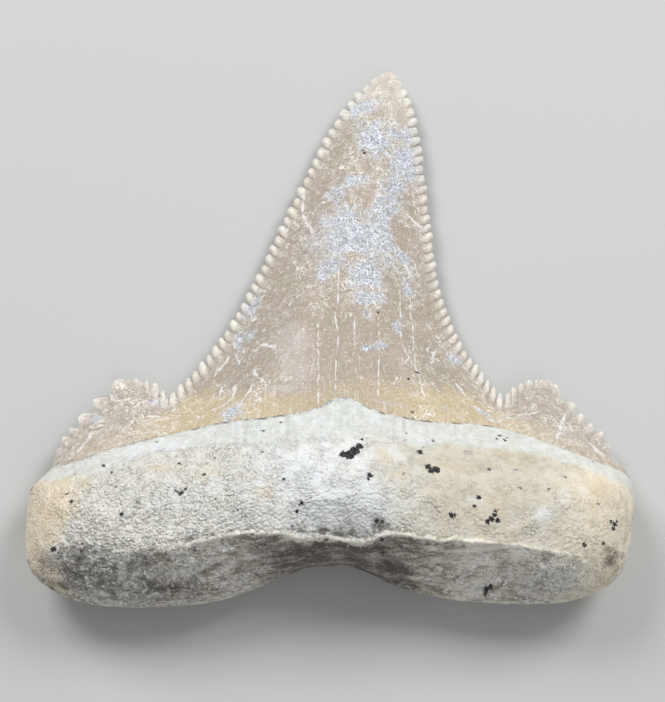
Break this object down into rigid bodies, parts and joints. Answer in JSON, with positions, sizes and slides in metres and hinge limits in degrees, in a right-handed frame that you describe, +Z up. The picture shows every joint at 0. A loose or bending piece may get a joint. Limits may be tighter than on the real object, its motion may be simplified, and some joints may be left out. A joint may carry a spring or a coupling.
{
  "type": "fossil shark tooth",
  "caption": "Flat fossil shark tooth with a tall serrated blade, low serrated side cusps and a broad two-lobed root, lying on its outer face.",
  "frame": {"origin": "centre of the tooth's bounding box in plan, at the height of the lowest points of its outer, lower face", "axes": "+Y from the root towards the blade's tip, +X to the right seen from above, +Z up from the outer face to the inner face"},
  "size_m": [0.0452, 0.0472, 0.0098],
  "materials": {
    "fossil_tooth": "semi-gloss beige enamel on the blade, dull off-white stippled bone on the root"
  },
  "bodies": {
    "root": {"tooth": "fossil_tooth"}
  },
  "joints": []
}
